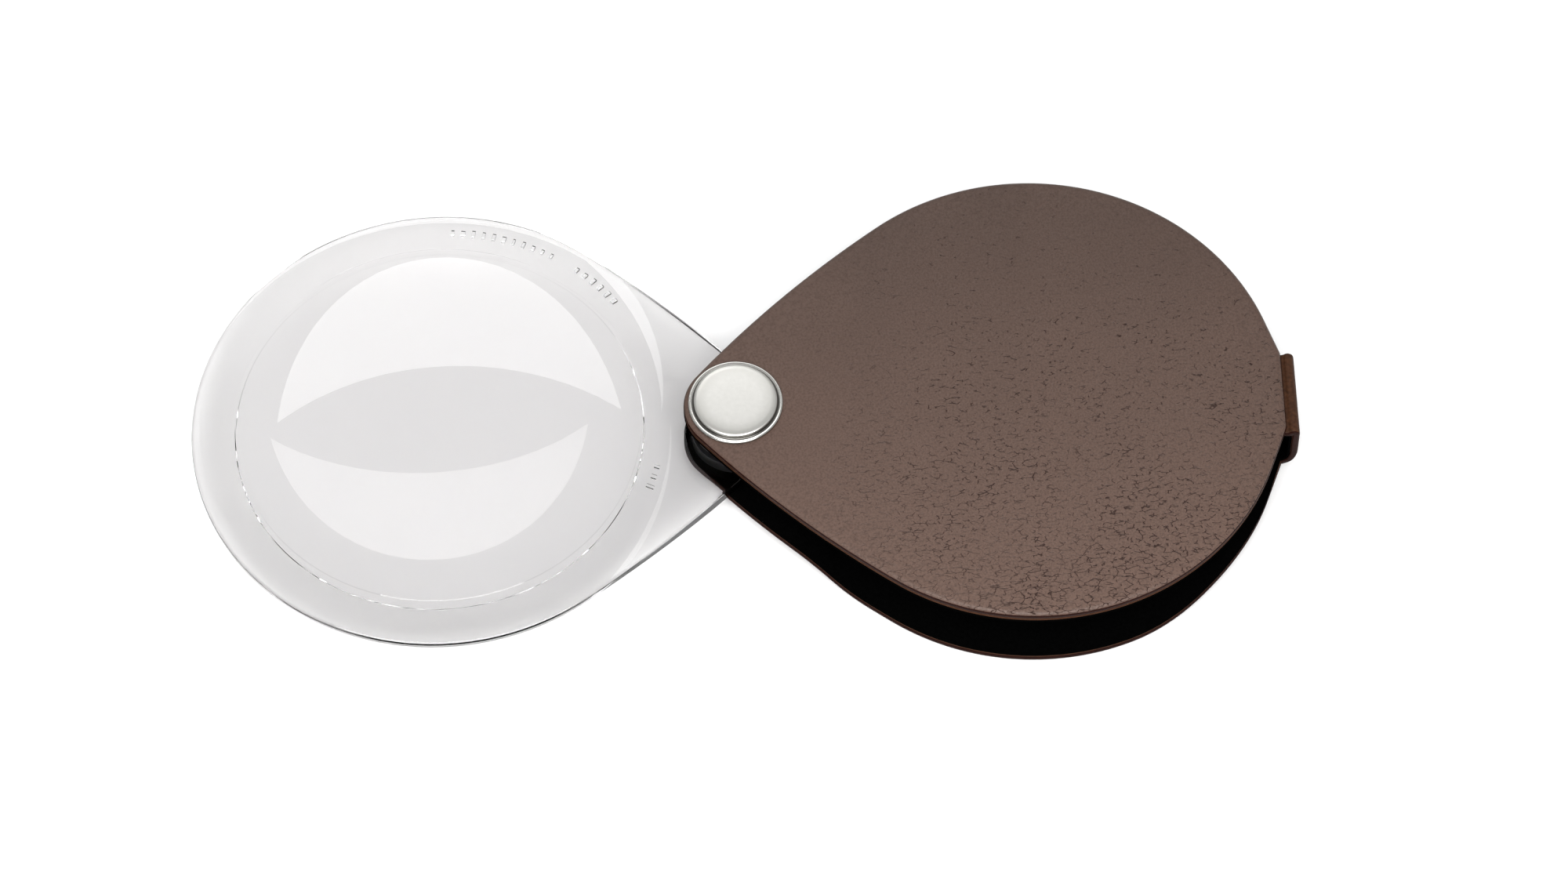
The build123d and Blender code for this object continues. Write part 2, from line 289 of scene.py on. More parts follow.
def soft_panel(name, place, target, size, power):
    """A rectangular area light in metres and watts, turned to face a point."""
    data = bpy.data.lights.new(name, "AREA")
    data.shape = "RECTANGLE"
    data.size, data.size_y = size
    data.energy = power
    panel = bpy.data.objects.new(name, data)
    panel.location = place
    panel.rotation_euler = (Vector(target) - Vector(place)).to_track_quat("-Z", "Y").to_euler()
    bpy.context.scene.collection.objects.link(panel)
    return panel


def crescent_panel(name, place, low, high, half_width, brightness, steps=32):
    """A glowing upright sheet, in metres. Its edges are curves z = a + b * x * x about the place (x, y)."""
    white = linear("#FFFFFF")
    glow, _, _ = new_material(
        "lit_diffuser", Base_Color=white, Emission_Color=white, Emission_Strength=brightness
    )
    across = np.linspace(-half_width, half_width, steps)
    edges = [(place[0] + x, place[1], a + b * x * x) for a, b in (low, high) for x in across]
    faces = [(i, i + 1, steps + i + 1, steps + i) for i in range(steps - 1)]
    panel = mesh_object(name, np.array(edges) / MM, faces, (glow,))
    panel.visible_camera = False


CRESCENT_PLACE = (-0.085, 0.75)
CRESCENT_LOW = (0.65, 3.77)  # a and b of each edge
CRESCENT_HIGH = (1.047, 1.16)
CRESCENT_HALF_WIDTH = 0.39
CRESCENT_BRIGHTNESS = 3.3
FRONT_PLACE = (0, -0.62, 0.88)
FRONT_SIZE = (1.1, 0.7)
FRONT_WATTS = 17
crescent_panel(
    "rear_crescent", CRESCENT_PLACE, CRESCENT_LOW, CRESCENT_HIGH, CRESCENT_HALF_WIDTH, CRESCENT_BRIGHTNESS
)
soft_panel("front_panel", FRONT_PLACE, (0, 0, 0), FRONT_SIZE, FRONT_WATTS)

bpy.context.scene.view_settings.view_transform = "Standard"
bpy.context.scene.view_settings.look = "None"

# %% [markdown]
# ## Leather
#
# The case is finished grain leather: hide with a thin coloured coat that follows the skin's own creases.
# The eye reads it by three things. There are short, broken creases that run mostly along the case and grow
# denser towards its front edge. There are scattered pores. And a white sheen lies over a brown that
# is darker and redder than it looks. The creases are the borders of Voronoi cells 0.75 mm across, drawn out
# sideways, bent by noise, and kept only in scattered short pieces. Shade in the creases and pores is painted
# into the colour, and so is a brighter sheen towards the front edge.

# %% Creases and pores
CREASE_CELL_MM = 0.75
CREASE_BREAK_MM = 0.65
PORE_CELL_MM = 0.8
SIDEWAYS = (0.55, 1.0, 1.0)


def per_metre(size_mm):
    """A texture's scale for a feature of this size."""
    return 1 / (size_mm * MM)


SMOOTH = {"interpolation_type": "SMOOTHSTEP"}


def bend(tree, where, size_mm, amount_mm):
    """Coordinates pushed about by noise, so that straight borders wander."""
    inputs = {"Vector": where, "Scale": per_metre(size_mm), "Detail": 3.0}
    push = add_node(tree, "ShaderNodeTexNoise", inputs, "Color")
    half = (0.5, 0.5, 0.5)
    centred = add_node(tree, "ShaderNodeVectorMath", (push, half), "Vector", operation="SUBTRACT")
    inputs = (centred, (2 * amount_mm * MM,) * 3, where)
    return add_node(tree, "ShaderNodeVectorMath", inputs, "Vector", operation="MULTIPLY_ADD")


def leather_hollows(tree, where):
    """Creases and pores, 1 at their deepest: strong at the front, faint at the back and the rivet's end."""
    sideways = add_node(tree, "ShaderNodeMapping", {"Vector": where, "Scale": SIDEWAYS}, "Vector")
    cells = {"Vector": bend(tree, sideways, 0.9, 0.32), "Scale": per_metre(CREASE_CELL_MM)}
    border = add_node(tree, "ShaderNodeTexVoronoi", cells, "Distance", feature="DISTANCE_TO_EDGE")
    crease = add_node(tree, "ShaderNodeMapRange", (border, 0.0, 0.075, 1.0, 0.0), 0, **SMOOTH)
    place = add_node(tree, "ShaderNodeSeparateXYZ", {"Vector": where}).outputs
    # More creases are kept towards the front.
    forward = add_node(tree, "ShaderNodeMapRange", (place["Y"], -0.037, 0.030, 0.09, -0.09), 0)
    breaks = {"Vector": sideways, "Scale": per_metre(CREASE_BREAK_MM), "Detail": 3.0}
    breaks = add_node(tree, "ShaderNodeTexNoise", breaks, "Fac")
    patch = add_node(tree, "ShaderNodeMath", (breaks, forward), 0, operation="ADD")
    kept = add_node(tree, "ShaderNodeMapRange", (patch, 0.51, 0.61, 0.0, 1.0), 0, **SMOOTH)
    # They are shallower in broad patches, and towards the rivet's end.
    slow = {"Vector": where, "Scale": per_metre(9.0), "Detail": 2.0}
    slow = add_node(tree, "ShaderNodeTexNoise", slow, "Fac")
    areas = add_node(tree, "ShaderNodeMapRange", (slow, 0.34, 0.58, 0.5, 1.0), 0, **SMOOTH)
    away = add_node(tree, "ShaderNodeMapRange", (place["X"], 0.002, 0.032, 0.15, 1.0), 0, **SMOOTH)
    areas = add_node(tree, "ShaderNodeMath", (areas, away), 0, operation="MULTIPLY")
    creases = add_node(tree, "ShaderNodeMath", (crease, kept), 0, operation="MULTIPLY")
    pore_cells = {"Vector": sideways, "Scale": per_metre(PORE_CELL_MM)}
    pore = add_node(tree, "ShaderNodeTexVoronoi", pore_cells, "Distance", feature="F1")
    pores = add_node(tree, "ShaderNodeMapRange", (pore, 0.03, 0.12, 0.6, 0.0), 0, **SMOOTH)
    pores = add_node(tree, "ShaderNodeMath", (pores, kept), 0, operation="MULTIPLY")
    both = add_node(tree, "ShaderNodeMath", (creases, pores), 0, operation="MAXIMUM")
    return add_node(tree, "ShaderNodeMath", (both, areas), 0, operation="MULTIPLY")


# %% Grain leather
grain_leather, tree, shader = new_material("grain_leather", Specular_IOR_Level=0.3)
where = add_node(tree, "ShaderNodeTexCoord").outputs["Object"]
hollows = leather_hollows(tree, where)
fine = {"Vector": where, "Scale": per_metre(0.32), "Detail": 3.0}
grain = add_node(tree, "ShaderNodeTexNoise", fine, "Fac")
depth = add_node(tree, "ShaderNodeSeparateXYZ", {"Vector": where}, "Y")
# Painted sheen: the coat is painted lighter towards the front edge, where the crowned face catches more
# light.
painted_front_sheen = add_node(tree, "ShaderNodeMapRange", (depth, 0.030, -0.040, 0.0, 0.75), 0)
broad = {"Vector": where, "Scale": per_metre(14.0), "Detail": 3.0}
broad = add_node(tree, "ShaderNodeTexNoise", broad, "Fac")
mix = {0: broad, 6: linear("#3D2E27"), 7: linear("#493830")}  # share, and the two colours
coat = add_node(tree, "ShaderNodeMix", mix, 2, data_type="RGBA")
mix = {0: painted_front_sheen, 6: coat, 7: linear("#634D43")}
coat = add_node(tree, "ShaderNodeMix", mix, 2, data_type="RGBA")
darker = add_node(tree, "ShaderNodeMapRange", (grain, 0.35, 0.75, 0.0, 0.45), 0, **SMOOTH)
mix = {0: darker, 6: coat, 7: linear("#2C1E17")}
mottled = add_node(tree, "ShaderNodeMix", mix, 2, data_type="RGBA")
# Painted shade: the creases and pores are painted a near-black brown, standing in for the shade inside them.
mix = {0: hollows, 6: mottled, 7: linear("#220E05")}
tree.links.new(add_node(tree, "ShaderNodeMix", mix, 2, data_type="RGBA"), shader.inputs["Base Color"])
rough = add_node(tree, "ShaderNodeMapRange", (grain, 0.3, 0.7, 0.38, 0.52), 0)
rough = add_node(tree, "ShaderNodeMath", (hollows, 0.3, rough), 0, operation="MULTIPLY_ADD")
tree.links.new(rough, shader.inputs["Roughness"])
swell = {"Vector": where, "Scale": per_metre(2.2), "Detail": 3.0}
swell = add_node(tree, "ShaderNodeTexNoise", swell, "Fac")
swell = add_node(tree, "ShaderNodeMath", (swell, 1.5, grain), 0, operation="MULTIPLY_ADD")
relief = add_node(tree, "ShaderNodeMath", (hollows, -2.2, swell), 0, operation="MULTIPLY_ADD")
bump = {"Height": relief, "Strength": 0.7, "Distance": 0.07 * MM}
tree.links.new(add_node(tree, "ShaderNodeBump", bump).outputs["Normal"], shader.inputs["Normal"])

# %% [markdown]
# ## Cut edges
#
# Leather is cut through and its edges are rubbed smooth with dye. The outer layer's edge comes out darker
# and redder than its face, and the second layer under it stays lighter. Fibres give both a fine streak
# along the edge, so the noise is stretched flat. Where the strap is pressed and folded, the coat is broken
# and the bare hide shows darker and more orange, with no gloss.

# %% Burnished and plain leather edges
def mottled_material(name, low, high, size_mm, lift_mm, squash=1.0, **shader_inputs):
    """A finish with a fine mottle of two near colours and a little relief."""
    material, tree, shader = new_material(name, **shader_inputs)
    where = add_node(tree, "ShaderNodeTexCoord").outputs["Object"]
    flat = add_node(tree, "ShaderNodeMapping", {"Vector": where, "Scale": (1.0, 1.0, squash)}).outputs[0]
    fibre = {"Vector": flat, "Scale": per_metre(size_mm), "Detail": 4.0}
    mottle = add_node(tree, "ShaderNodeTexNoise", fibre, "Fac")
    mix = {0: mottle, 6: linear(low), 7: linear(high)}
    tree.links.new(add_node(tree, "ShaderNodeMix", mix, 2, data_type="RGBA"), shader.inputs["Base Color"])
    bump = {"Height": mottle, "Strength": 0.5, "Distance": lift_mm * MM}
    tree.links.new(add_node(tree, "ShaderNodeBump", bump).outputs["Normal"], shader.inputs["Normal"])
    return material


EDGE_FIBRE = {"size_mm": 0.8, "lift_mm": 0.1, "squash": 4.0, "Specular_IOR_Level": 0.05}
folded_leather = mottled_material(
    "folded_leather", "#0C0402", "#4C2F1D", 0.5, 0.12, Roughness=0.6, Specular_IOR_Level=0.12
)
burnished_edge = mottled_material("burnished_edge", "#0A0302", "#2C1008", Roughness=0.5, **EDGE_FIBRE)
second_layer_edge = mottled_material("second_layer_edge", "#26140C", "#503424", Roughness=0.7, **EDGE_FIBRE)

# %% [markdown]
# ## Case covers
#
# Each cover is a teardrop: a large arc and a small arc joined by two gently bulging flanks, with two
# shoulders at the strap's end. Walking round that outline at an even pace and drawing it again smaller
# and smaller gives a face of quads that close on one point, the centre of the large arc. Round the edge
# the same outline is drawn down a small profile: the outer leather's rounded bead, a groove and the
# second layer's bead.

# %% Teardrop outline
def touching(centre_a, radius_a, centre_b, radius_b):
    """Which way the straight line from one arc to the next faces, going round anticlockwise."""
    apart = centre_b - centre_a
    facing = math.atan2(apart[1], apart[0]) - math.acos((radius_a - radius_b) / np.linalg.norm(apart))
    return (facing + math.pi) % (2 * math.pi) - math.pi


def teardrop(lobe, tail, span, flank, corners=(), corner=0.0):
    """The outline as arcs (centre, radius, start, end), anticlockwise. The tail's arc is centred on zero."""
    from_tail, from_lobe = flank - tail, flank - lobe
    x = (from_tail**2 - from_lobe**2 + span**2) / (2 * span)
    y = math.sqrt(from_tail**2 - x**2)
    at_lobe, at_tail = math.atan2(y, span - x), math.atan2(y, -x)
    whole = 2 * math.pi
    lobe_centre, low_flank, high_flank = np.array([span, 0]), np.array([x, y]), np.array([x, -y])
    first, arcs = -at_lobe, []
    if corners:
        low, high = (np.array(place) for place in corners)
        first = touching(lobe_centre, lobe, low, corner)
        second = touching(high, corner, lobe_centre, lobe)
        arcs += [(low, corner, first, 0.0), (high, corner, 0.0, second)]
        arcs.append((lobe_centre, lobe, second, at_lobe))
    else:
        arcs.append((lobe_centre, lobe, first, at_lobe))
    arcs.append((high_flank, flank, at_lobe, at_tail))
    arcs.append((np.zeros(2), tail, at_tail, whole - at_tail))
    arcs.append((low_flank, flank, whole - at_tail, whole - at_lobe))
    if corners:
        arcs.append((lobe_centre, lobe, whole - at_lobe, whole + first))
    return arcs


def walk(arcs, count):
    """Points and outward directions at even steps along arcs, with straight lines where arcs don't meet."""
    turns = [np.linspace(start, end, 240) for _, _, start, end in arcs]
    fine = [
        centre + radius * np.column_stack([np.cos(turn), np.sin(turn)])
        for (centre, radius, _, _), turn in zip(arcs, turns)
    ]
    fine = np.concatenate([*fine, fine[0][:1]])
    turns = np.concatenate([*turns, [turns[0][0] + 2 * math.pi]])
    walked = np.concatenate([[0], np.cumsum(np.linalg.norm(np.diff(fine, axis=0), axis=1))])
    stops = np.linspace(0, walked[-1], count, endpoint=False)
    points = np.column_stack([np.interp(stops, walked, fine[:, axis]) for axis in (0, 1)])
    facing = np.interp(stops, walked, turns)
    return points, np.column_stack([np.cos(facing), np.sin(facing)])


def ramp(x, start, end, height):
    """How far an S of two equal arcs has risen at x."""
    half, rise = (end - start) / 2, height / 2
    radius = (half**2 + rise**2) / height
    u = np.clip(x - start, 0, 2 * half)
    low = radius - np.sqrt(radius**2 - np.minimum(u, half) ** 2)
    high = height - radius + np.sqrt(radius**2 - (2 * half - np.maximum(u, half)) ** 2)
    return np.where(u <= half, low, high)


def lower_rise(x):
    """The lower cover's outer face above the table, along the case."""
    tail = TAIL_RISE - ramp(x, *TAIL_RAMP, TAIL_RISE)
    return tail + ramp(x, *STRAP_RAMP, STRAP_RISE)


# %% Covers
FACE, BURNISHED, SECOND, FOLDED = 0, 1, 2, 3
LEATHERS = (grain_leather, burnished_edge, second_layer_edge, folded_leather)
EDGE_PROFILE = [  # distance in from the outline, depth below the face, and the finish that starts there
    (0.95, 0.00, FACE),
    (0.68, 0.02, FACE),
    (0.44, 0.08, FACE),
    (0.24, 0.19, FACE),
    (0.10, 0.36, BURNISHED),
    (0.02, 0.56, BURNISHED),
    (0.00, 0.78, BURNISHED),
    (0.03, 1.00, BURNISHED),
    (0.10, 1.18, BURNISHED),
    (0.14, 1.24, SECOND),
    (0.08, 1.32, SECOND),
    (0.06, 1.44, SECOND),
    (0.08, 1.60, SECOND),
    (0.10, 1.70, SECOND),
]
CROWN = 0.22
CROWN_WIDTH = 16.0
WAVE = 0.045
WAVE_LENGTH = 7.0


def cover(name, around, across, height, face_relief):
    """A closed leather cover. height(x, depth) gives z that deep; face_relief lifts its outer face."""
    near, far = SHOULDER_SIDES
    corner_x = SHOULDER_REACH - SHOULDER_CORNER
    corners = ((corner_x, near + SHOULDER_CORNER), (corner_x, far - SHOULDER_CORNER))
    points, outward = walk(teardrop(**CASE_OUTLINE, corners=corners, corner=SHOULDER_CORNER), around)
    inner = np.array([CASE_OUTLINE["span"], 0.0])
    rings, finishes = [], []

    def add_ring(flat, depth, finish, relief=0.0):
        z = height(flat[:, 0], depth) + relief
        rings.append(np.column_stack([flat[:, 0] + RIVET_X, flat[:, 1] + RIVET_Y, z]))
        finishes.append(finish)

    face_inset = EDGE_PROFILE[0][0]
    start = points - outward * face_inset
    reach = ((start - inner) * outward).sum(axis=1)
    for share in np.linspace(0, 1, across, endpoint=False):
        flat = inner + (start - inner) * share
        add_ring(flat, 0.0, FACE, face_relief(flat, reach * (1 - share) + face_inset))
    for inset, depth, finish in EDGE_PROFILE:
        flat = points - outward * inset
        fade = max(0.0, 1 - depth / 0.1)
        add_ring(flat, depth, finish, fade * face_relief(flat, np.full(around, inset)))
    under = points - outward * EDGE_PROFILE[-1][0]
    for share in (0.1, 0.5, 1.0):
        add_ring(under + (inner - under) * share, SHELL, SECOND)
    made = mesh_object(
        name,
        np.concatenate(rings),
        skin([range(around)] * len(rings)),
        LEATHERS,
        np.repeat(finishes[:-1], around),
    )
    clean(made)
    return made


def top_height(x, depth):
    return np.full(len(x), CASE_TOP - depth)


def top_relief(flat, inset):
    """A soft crown over the board, and the hide's slow unevenness."""
    crown = CROWN * (1 - np.clip(1 - inset / CROWN_WIDTH, 0, 1) ** 2)
    waves = [noise.noise(Vector((*p, 12.0)) / WAVE_LENGTH) for p in flat]
    return crown + WAVE * np.array(waves)


def low_height(x, depth):
    return lower_rise(x) + depth


def no_relief(flat, inset):
    return np.zeros(len(flat))


case_leather = cover("leather_case", 512, 84, top_height, top_relief)
lower_cover = cover("lower_cover", 384, 40, low_height, no_relief)

# %% [markdown]
# ## The strap
#
# At the far end the same leather leaves the upper cover in a pressed crease, turns down over a tight bend
# and runs into the lower cover. It is a narrow band, so it is drawn as a rounded rectangle carried along
# a line of a few listed points, smoothed by cutting their corners three times.

# %% Strap
STRAP_SIDES = (-7.6, 6.0)
STRAP_THICKNESS = 1.2
STRAP_CORNER = 0.4
FOLD_DEPTH = 1.9
STRAP_LINE = [  # outer line in side view: along the case from the rivet, and height
    (79.4, CASE_TOP - 1.05),
    (80.7, CASE_TOP - 1.02),
    (81.25, CASE_TOP - 0.95),
    (81.6, CASE_TOP - 0.60),
    (82.2, CASE_TOP - 0.52),
    (STRAP_REACH, CASE_TOP - 1.1),
    (STRAP_REACH, CASE_TOP - 2.6),
    (STRAP_REACH, 9.0),
    (STRAP_REACH, 6.8),
    (82.35, 4.9),
    (81.0, 3.95),
    (79.6, 3.72),
    (78.0, 3.70),
]


def cut_corners(line, rounds):
    """Chaikin's smoothing: each corner is replaced by two points, a quarter of the way along each side."""
    for _ in range(rounds):
        line = np.array(line)
        near = line[:-1] * 0.75 + line[1:] * 0.25
        far = line[:-1] * 0.25 + line[1:] * 0.75
        line = np.concatenate([line[:1], np.stack([near, far], 1).reshape(-1, 2), line[-1:]])
    return line


def rounded_section(width, thickness, corner, steps=6):
    """A rounded rectangle as points (across, depth), with the outer face at depth zero."""
    section = []
    for across, depth, start in (
        (width / 2 - corner, corner, -90),
        (width / 2 - corner, thickness - corner, 0),
        (-width / 2 + corner, thickness - corner, 90),
        (-width / 2 + corner, corner, 180),
    ):
        for angle in np.radians(np.linspace(start, start + 90, steps)):
            section.append((across + corner * math.cos(angle), depth + corner * math.sin(angle)))
    return np.array(section)


line = cut_corners(STRAP_LINE, 3)
along = np.gradient(line, axis=0)
along /= np.linalg.norm(along, axis=1)[:, None]
inward = np.column_stack([along[:, 1], -along[:, 0]])
section = rounded_section(STRAP_SIDES[1] - STRAP_SIDES[0], STRAP_THICKNESS, STRAP_CORNER)
middle = sum(STRAP_SIDES) / 2
rings = [
    [
        (RIVET_X + p[0] + n[0] * depth, RIVET_Y + middle + across, p[1] + n[1] * depth)
        for across, depth in section
    ]
    for p, n in zip(line, inward)
]
count = len(section)
faces = skin(rings) + [tuple(range(count)), tuple(range((len(rings) - 1) * count, len(rings) * count))]
half_width = (STRAP_SIDES[1] - STRAP_SIDES[0]) / 2
on_side = np.abs((section + np.roll(section, -1, axis=0))[:, 0] / 2) > half_width - 0.2
folded = line[:-1, 1] > CASE_TOP - FOLD_DEPTH
finishes = np.where(on_side[None, :], BURNISHED, np.where(folded[:, None], FOLDED, FACE))
strap_materials = np.concatenate([finishes.ravel(), [BURNISHED, BURNISHED]])
strap = mesh_object(
    "strap",
    np.array(rings).reshape(-1, 3),
    faces,
    LEATHERS,
    strap_materials,
)
clean(strap)

# %% Join the leather into one skin and cut the rivet's hole
combine(case_leather, strap, "UNION")
combine(case_leather, lower_cover, "UNION")
combine(case_leather, round_bar("hole", HOLE_RADIUS, -1.0, CASE_TOP + 1.0), "DIFFERENCE")
finish_piece(case_leather, "case", "brown_leather", "case_leather", sharp=50)

# %% [markdown]
# ## Lining and boards
#
# The inside of the case is thin black leather, and two boards lie hidden between it and the covers. The
# lining is a plain sheet of even thickness, exactly as the model has it, so it keeps its mesh. It takes
# a smooth black finish with a faint nap.

# %% Lining, boards and spacers
black_lining = mottled_material(
    "black_lining_leather", "#010101", "#060606", 0.5, 0.03, Roughness=0.9, Specular_IOR_Level=0.0
)
millboard = mottled_material("millboard", "#8A8175", "#A39A8C", 1.2, 0.05, Roughness=0.9)
black_nylon = mottled_material("black_nylon", "#0C0C0D", "#151516", 0.7, 0.01, Roughness=0.42)

for name, material in (
    ("case_lining", black_lining),
    ("top_board", millboard),
    ("bottom_board", millboard),
    ("spacer_top", black_nylon),
    ("spacer_bottom", black_nylon),
):
    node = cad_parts[name]
    node.data.materials.clear()
    node.data.materials.append(material)

# %% [markdown]
# ## The lens
#
# The lens is one acrylic moulding, polished like glass: a disc with two convex faces, a flange that thins
# to a 1 mm rim, and a thicker tail. Both faces are written as a height for every point, so they are
# smooth where a coarser mesh would show facets in the reflections. The rings are circles on the disc
# and change over the flange into the teardrop outline.

# %% Clear acrylic
clear_acrylic, tree, shader = new_material(
    "clear_acrylic",
    Base_Color=linear("#EEEDED"),
    Roughness=0.0,
    IOR=1.49,
    Transmission_Weight=1.0,
)

# %% Lens surface
lens_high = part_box("lens")[1]
DISC_RADIUS = 30.0
DISC_HALF = 1.8
TOP_SAG = 2.3
LOW_SAG = 1.2
LENS_LEVEL = lens_high.z / MM - DISC_HALF - TOP_SAG
RIM_HALF = 0.5
TAIL_HALF = 1.15
STEP = 0.1  # the flange starts this far below the disc's edge
LIP_START = 34.8  # part of the way to the rim; the slope hardly changes here
LIP_HALF = 0.85
FLANGE_BLEND = 0.9  # over this difference in height the ring passes softly into the tail's wedge
WEDGE_RUN = (4.0, 22.0)  # the tail thins between these distances from the rivet
FLANGE_OUT = 0.15  # the flange's first ring stands this far out from the disc
FLANGE_IN = 0.42  # and its last this far in from the rim
RIM_PROFILE = ((0.28, 0.04), (0.16, 0.1), (0.07, 0.2), (0.01, 0.34))  # distance in, and drop
LENS_HOLE_RADIUS = 2.56
LENS_AROUND = 480
DISC_RINGS = [*np.linspace(0, 28.5, 40), 29.2, 29.6, 29.85, DISC_RADIUS]  # closer near the disc's edge
FLANGE_SHARES = [0.0, *np.linspace(0.02, 1, 22)]  # how far out over the flange each ring lies


def dome(r, sag):
    """Height of a convex face above the plane of the disc's edge."""
    radius = (DISC_RADIUS**2 + sag**2) / (2 * sag)
    return np.sqrt(radius**2 - r**2) - (radius - sag)


def flange_half(x, r):
    """Half the flange's thickness: a tapered ring on the lobe, and a wedge towards the tail."""
    ring = np.interp(
        r,
        [DISC_RADIUS, LIP_START, LENS_OUTLINE["lobe"], 60.0],
        [DISC_HALF - STEP, LIP_HALF, RIM_HALF, RIM_HALF],
    )
    wedge = np.interp(x, WEDGE_RUN, [TAIL_HALF, RIM_HALF])
    share = np.clip(0.5 + (ring - wedge) / FLANGE_BLEND, 0, 1)
    return ring * share + wedge * (1 - share) + FLANGE_BLEND / 2 * share * (1 - share)


span = LENS_OUTLINE["span"]
outline, _ = walk(teardrop(**LENS_OUTLINE), LENS_AROUND)
from_centre = outline - (span, 0)
reach = np.linalg.norm(from_centre, axis=1)
direction = from_centre / reach[:, None]
rings = []


def lens_ring(radii, heights):
    """One ring of the lens, in its own frame, turned and moved to where the lens stands open."""
    flat = direction * np.asarray(radii)[:, None] + (span, 0.0)
    x = RIVET_X + flat[:, 0] * math.cos(OPEN_ANGLE) - flat[:, 1] * math.sin(OPEN_ANGLE)
    y = RIVET_Y + flat[:, 0] * math.sin(OPEN_ANGLE) + flat[:, 1] * math.cos(OPEN_ANGLE)
    rings.append(np.column_stack([x, y, LENS_LEVEL + heights]))


def lens_side(sign, sag):
    """The rings of one face from the disc's centre to the rounded rim; sign is +1 above and -1 below."""
    made = []
    for r in DISC_RINGS:
        made.append((np.full(LENS_AROUND, r), sign * (DISC_HALF + dome(r, sag)) * np.ones(LENS_AROUND)))
    for share in FLANGE_SHARES:
        r = DISC_RADIUS + FLANGE_OUT + (reach - FLANGE_IN - DISC_RADIUS - FLANGE_OUT) * share
        made.append((r, sign * flange_half(span + direction[:, 0] * r, r)))
    for inset, drop in RIM_PROFILE:
        r = reach - inset
        made.append((r, sign * (flange_half(span + direction[:, 0] * r, r) - drop)))
    return made


for radii, heights in lens_side(1, TOP_SAG) + lens_side(-1, LOW_SAG)[::-1]:
    lens_ring(radii, heights)
lens = mesh_object("clear_lens", np.concatenate(rings), skin(rings), (clear_acrylic,))
clean(lens)
combine(lens, round_bar("lens_hole", LENS_HOLE_RADIUS, LENS_LEVEL - 3.0, LENS_LEVEL + 3.0), "DIFFERENCE")

# %% [markdown]
# ## Raised marks
#
# A moulding like this has small raised marks on its flange. They are drawn here as plain short bars of
# uneven size, with no lettering. They repeat along arcs, so Geometry Nodes place them: points at even
# angles, a block on each, tilted with the flange's slope. The result is a plain mesh that is joined to
# the lens.

# %% Node tree for a row of marks
MARK_SIZE = (1.1, 0.42, 0.4)
MARK_LEAST = (0.55, 0.6, 1.0)  # the smallest and the largest share of that size
MARK_MOST = (1.1, 1.5, 1.0)
MARK_SEED = 7


def marks_tree():
    """A row of raised blocks on an arc round the disc's centre. Returns the tree and its input names."""
    tree = bpy.data.node_groups.new("raised_marks", "GeometryNodeTree")
    names = ("Arc Radius", "First Angle", "Angle Step", "Height", "Tilt", "Count")
    found = {}
    for name in names:
        kind = "NodeSocketInt" if name == "Count" else "NodeSocketFloat"
        found[name] = tree.interface.new_socket(name, in_out="INPUT", socket_type=kind).identifier
    tree.interface.new_socket("Marks", in_out="OUTPUT", socket_type="NodeSocketGeometry")
    given = add_node(tree, "NodeGroupInput").outputs
    index = add_node(tree, "GeometryNodeInputIndex").outputs[0]
    turn = (index, given["Angle Step"], given["First Angle"])
    angle = add_node(tree, "ShaderNodeMath", turn, 0, operation="MULTIPLY_ADD")
    cosine = add_node(tree, "ShaderNodeMath", (angle,), 0, operation="COSINE")
    across = add_node(tree, "ShaderNodeMath", (cosine, given["Arc Radius"]), 0, operation="MULTIPLY")
    sine = add_node(tree, "ShaderNodeMath", (angle,), 0, operation="SINE")
    along = add_node(tree, "ShaderNodeMath", (sine, given["Arc Radius"]), 0, operation="MULTIPLY")
    place = {"X": across, "Y": along, "Z": given["Height"]}
    position = add_node(tree, "ShaderNodeCombineXYZ", place).outputs[0]
    points = add_node(tree, "GeometryNodePoints", {"Count": given["Count"], "Position": position}).outputs[0]
    block = add_node(tree, "GeometryNodeMeshCube", {"Size": [side * MM for side in MARK_SIZE]}).outputs[0]
    turned = add_node(tree, "ShaderNodeCombineXYZ", {"Y": given["Tilt"], "Z": angle}).outputs[0]
    sizes = add_node(
        tree,
        "FunctionNodeRandomValue",
        {"Min": MARK_LEAST, "Max": MARK_MOST, "Seed": MARK_SEED},
        data_type="FLOAT_VECTOR",
    ).outputs[0]
    row = {"Points": points, "Instance": block, "Rotation": turned, "Scale": sizes}
    blocks = add_node(tree, "GeometryNodeInstanceOnPoints", row).outputs[0]
    solid = add_node(tree, "GeometryNodeRealizeInstances", {"Geometry": blocks}).outputs[0]
    clear = add_node(tree, "GeometryNodeSetMaterial", {"Geometry": solid, "Material": clear_acrylic})
    output = add_node(tree, "NodeGroupOutput")
    tree.links.new(clear.outputs[0], output.inputs[0])
    return tree, found


# %% Three rows of marks
MARK_RADIUS = 33.2
